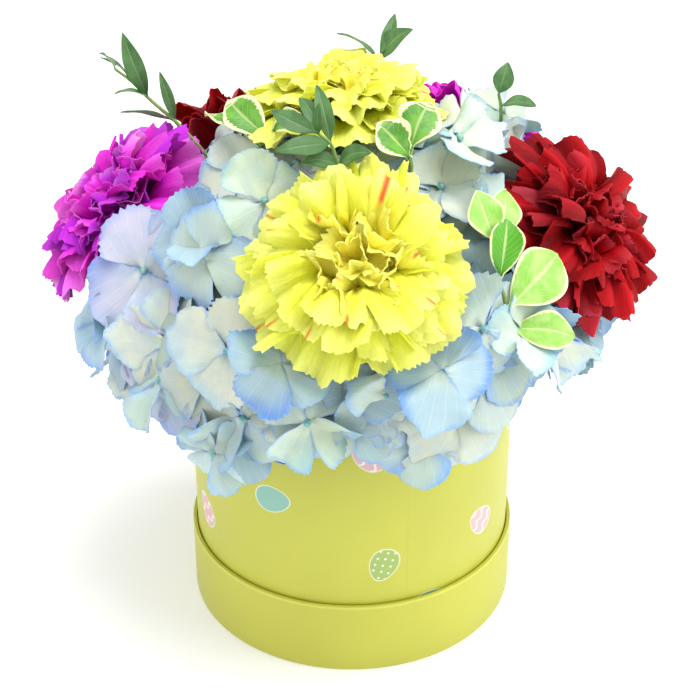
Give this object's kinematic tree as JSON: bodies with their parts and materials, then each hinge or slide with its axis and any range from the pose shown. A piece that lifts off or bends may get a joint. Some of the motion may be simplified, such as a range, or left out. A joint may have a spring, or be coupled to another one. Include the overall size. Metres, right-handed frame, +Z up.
{
  "type": "flower hat box",
  "caption": "Round paper flower hat box in its upturned lid, filled with a dome of pale blue hydrangea, ruffled carnations in three colours, eucalyptus and variegated pittosporum.",
  "frame": {"origin": "on the floor, under the middle of the box", "axes": "+Z up through the middle of the box, -Y towards the front of the arrangement"},
  "size_m": [0.2182, 0.1945, 0.2126],
  "materials": {
    "lid_paper": "smooth yellow paper over board",
    "box_paper": "smooth yellow paper over board, printed with small scattered eggs",
    "liner_film": "thin glossy plastic film",
    "foam": "wet green floral foam with fine pores",
    "hydrangea": "fresh thin sepals, white-green to pale blue, finely veined",
    "stem": "fresh green stem and calyx",
    "yellow_petal": "fresh lemon petals, golden at the centre",
    "purple_petal": "fresh magenta petals with pale highlights",
    "red_petal": "fresh deep red petals with a velvet sheen",
    "eucalyptus_leaf": "fresh matt green leaves on a thin twig",
    "pittosporum_leaf": "fresh glossy green leaves with a cream margin"
  },
  "bodies": {
    "root": {"lid_rim": "lid_paper", "lid_disc": "lid_paper", "box_wall": "box_paper", "box_disc": "box_paper", "liner": "liner_film", "foam": "foam", "hydrangea_front_left": "hydrangea", "hydrangea_front_right": "hydrangea", "hydrangea_back_right": "hydrangea", "hydrangea_back_left": "hydrangea", "hydrangea_front_left_stalk": "stem", "hydrangea_front_right_stalk": "stem", "hydrangea_back_right_stalk": "stem", "hydrangea_back_left_stalk": "stem", "yellow_front_petals": "yellow_petal", "yellow_front_stem": "stem", "yellow_top_petals": "yellow_petal", "yellow_top_stem": "stem", "purple_left_petals": "purple_petal", "purple_left_stem": "stem", "purple_back_petals": "purple_petal", "purple_back_stem": "stem", "red_right_petals": "red_petal", "red_right_stem": "stem", "red_back_petals": "red_petal", "red_back_stem": "stem", "eucalyptus_front": "eucalyptus_leaf", "eucalyptus_back_left": "eucalyptus_leaf", "eucalyptus_back_top": "eucalyptus_leaf", "eucalyptus_right": "eucalyptus_leaf", "pittosporum_left": "pittosporum_leaf", "pittosporum_right": "pittosporum_leaf", "pittosporum_side": "pittosporum_leaf", "pittosporum_rear": "pittosporum_leaf"}
  },
  "joints": []
}
